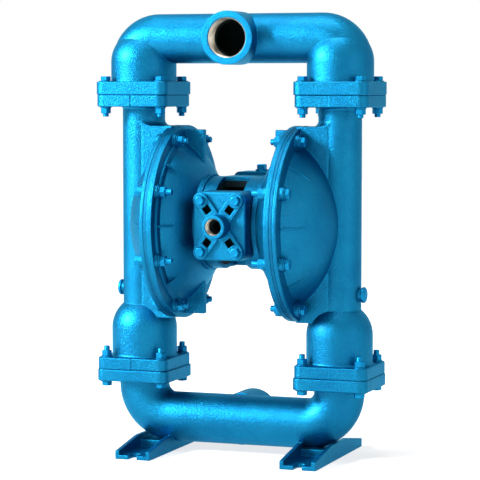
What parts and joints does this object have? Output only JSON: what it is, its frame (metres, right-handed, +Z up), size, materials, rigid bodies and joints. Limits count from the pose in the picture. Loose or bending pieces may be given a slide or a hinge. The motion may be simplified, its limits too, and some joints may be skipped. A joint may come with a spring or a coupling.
{
  "type": "air operated diaphragm pump",
  "caption": "Air operated double diaphragm pump with ball check valves, flanged upper and lower manifolds, pipe thread ports and cast feet.",
  "frame": {"origin": "on the floor under the middle of the pump", "axes": "+X along the diaphragm rod to the right, -Y towards the air inlet and discharge port, +Z up"},
  "size_m": [0.431, 0.294, 0.67],
  "materials": {
    "painted_casting": "metallic blue paint over sand-cast metal",
    "painted_fastener": "metallic blue paint over plated steel",
    "rubber": "moulded black rubber",
    "gasket": "pressed fibre and rubber sheet",
    "bronze": "turned bearing bronze",
    "bare_casting": "bare machined aluminium",
    "machined_steel": "ground steel"
  },
  "bodies": {
    "pump_body": {"outer_chamber_left": "painted_casting", "outer_chamber_right": "painted_casting", "inner_chamber_left": "painted_casting", "inner_chamber_right": "painted_casting", "diaphragm_left": "rubber", "diaphragm_right": "rubber", "valve_end_cap_left": "painted_casting", "valve_end_cap_right": "painted_casting", "side_plug_left": "painted_fastener", "side_plug_right": "painted_fastener", "rim_bolts_left": "painted_fastener", "rim_bolts_right": "painted_fastener", "rim_nuts_left": "painted_fastener", "rim_nuts_right": "painted_fastener", "rim_washers_left": "painted_fastener", "rim_washers_right": "painted_fastener", "rod_bushing_left": "bronze", "rod_bushing_right": "bronze", "plunger_bushing_left": "bronze", "plunger_bushing_right": "bronze", "discharge_manifold": "painted_casting", "suction_manifold": "painted_casting", "intermediate_bracket": "painted_casting", "air_inlet_cap": "painted_casting", "inlet_cap_gasket": "gasket", "inlet_cap_screws": "painted_fastener", "air_valve_body": "painted_casting", "air_valve_gasket": "gasket", "air_valve_bolts": "painted_fastener", "valve_cap_screws": "painted_fastener", "valve_sleeve": "machined_steel", "valve_top_plug": "painted_fastener", "pilot_sleeve": "machined_steel", "rod_seals": "gasket", "plate_bumpers": "rubber", "hub_screws": "machined_steel", "suction_seats": "bare_casting", "discharge_seats": "bare_casting", "seat_gaskets": "gasket", "joint_bolts": "painted_fastener", "joint_nuts": "painted_fastener", "joint_washers": "painted_fastener"},
    "rod_assembly": {"diaphragm_rod": "machined_steel", "inner_plate_left": "bare_casting", "inner_plate_right": "bare_casting", "outer_plate_left": "bare_casting", "outer_plate_right": "bare_casting"},
    "pilot_spool": {"pilot_spool": "machined_steel"},
    "plunger_left": {"plunger_left": "machined_steel"},
    "plunger_right": {"plunger_right": "machined_steel"},
    "valve_spool": {"valve_spool": "machined_steel"},
    "suction_ball_left": {"suction_ball_left": "rubber"},
    "suction_ball_right": {"suction_ball_right": "rubber"},
    "discharge_ball_left": {"discharge_ball_left": "rubber"},
    "discharge_ball_right": {"discharge_ball_right": "rubber"}
  },
  "joints": [
    {"name": "rod_stroke", "type": "slide", "parent": "pump_body", "child": "rod_assembly", "axis": [1, 0, 0], "range_m": [-0.018, 0.018], "deforming": ["diaphragm_left", "diaphragm_right"]},
    {"name": "pilot_shift", "type": "slide", "parent": "pump_body", "child": "pilot_spool", "axis": [1, 0, 0], "range_m": [-0.005, 0.005]},
    {"name": "plunger_left_travel", "type": "slide", "parent": "pump_body", "child": "plunger_left", "axis": [1, 0, 0], "range_m": [-0.005, 0.005]},
    {"name": "plunger_right_travel", "type": "slide", "parent": "pump_body", "child": "plunger_right", "axis": [1, 0, 0], "range_m": [-0.005, 0.005]},
    {"name": "spool_shift", "type": "slide", "parent": "pump_body", "child": "valve_spool", "axis": [1, 0, 0], "range_m": [-0.006, 0.006]},
    {"name": "suction_ball_left_lift", "type": "slide", "parent": "pump_body", "child": "suction_ball_left", "axis": [0, 0, 1], "range_m": [0, 0.016]},
    {"name": "suction_ball_right_lift", "type": "slide", "parent": "pump_body", "child": "suction_ball_right", "axis": [0, 0, 1], "range_m": [0, 0.016]},
    {"name": "discharge_ball_left_lift", "type": "slide", "parent": "pump_body", "child": "discharge_ball_left", "axis": [0, 0, 1], "range_m": [0, 0.016]},
    {"name": "discharge_ball_right_lift", "type": "slide", "parent": "pump_body", "child": "discharge_ball_right", "axis": [0, 0, 1], "range_m": [0, 0.016]}
  ],
  "couplings": [
    {"joint": "pilot_shift", "follows": "rod_stroke", "ratio": 0.2777},
    {"joint": "plunger_left_travel", "follows": "rod_stroke", "ratio": 0.2777},
    {"joint": "plunger_right_travel", "follows": "rod_stroke", "ratio": 0.2777}
  ]
}
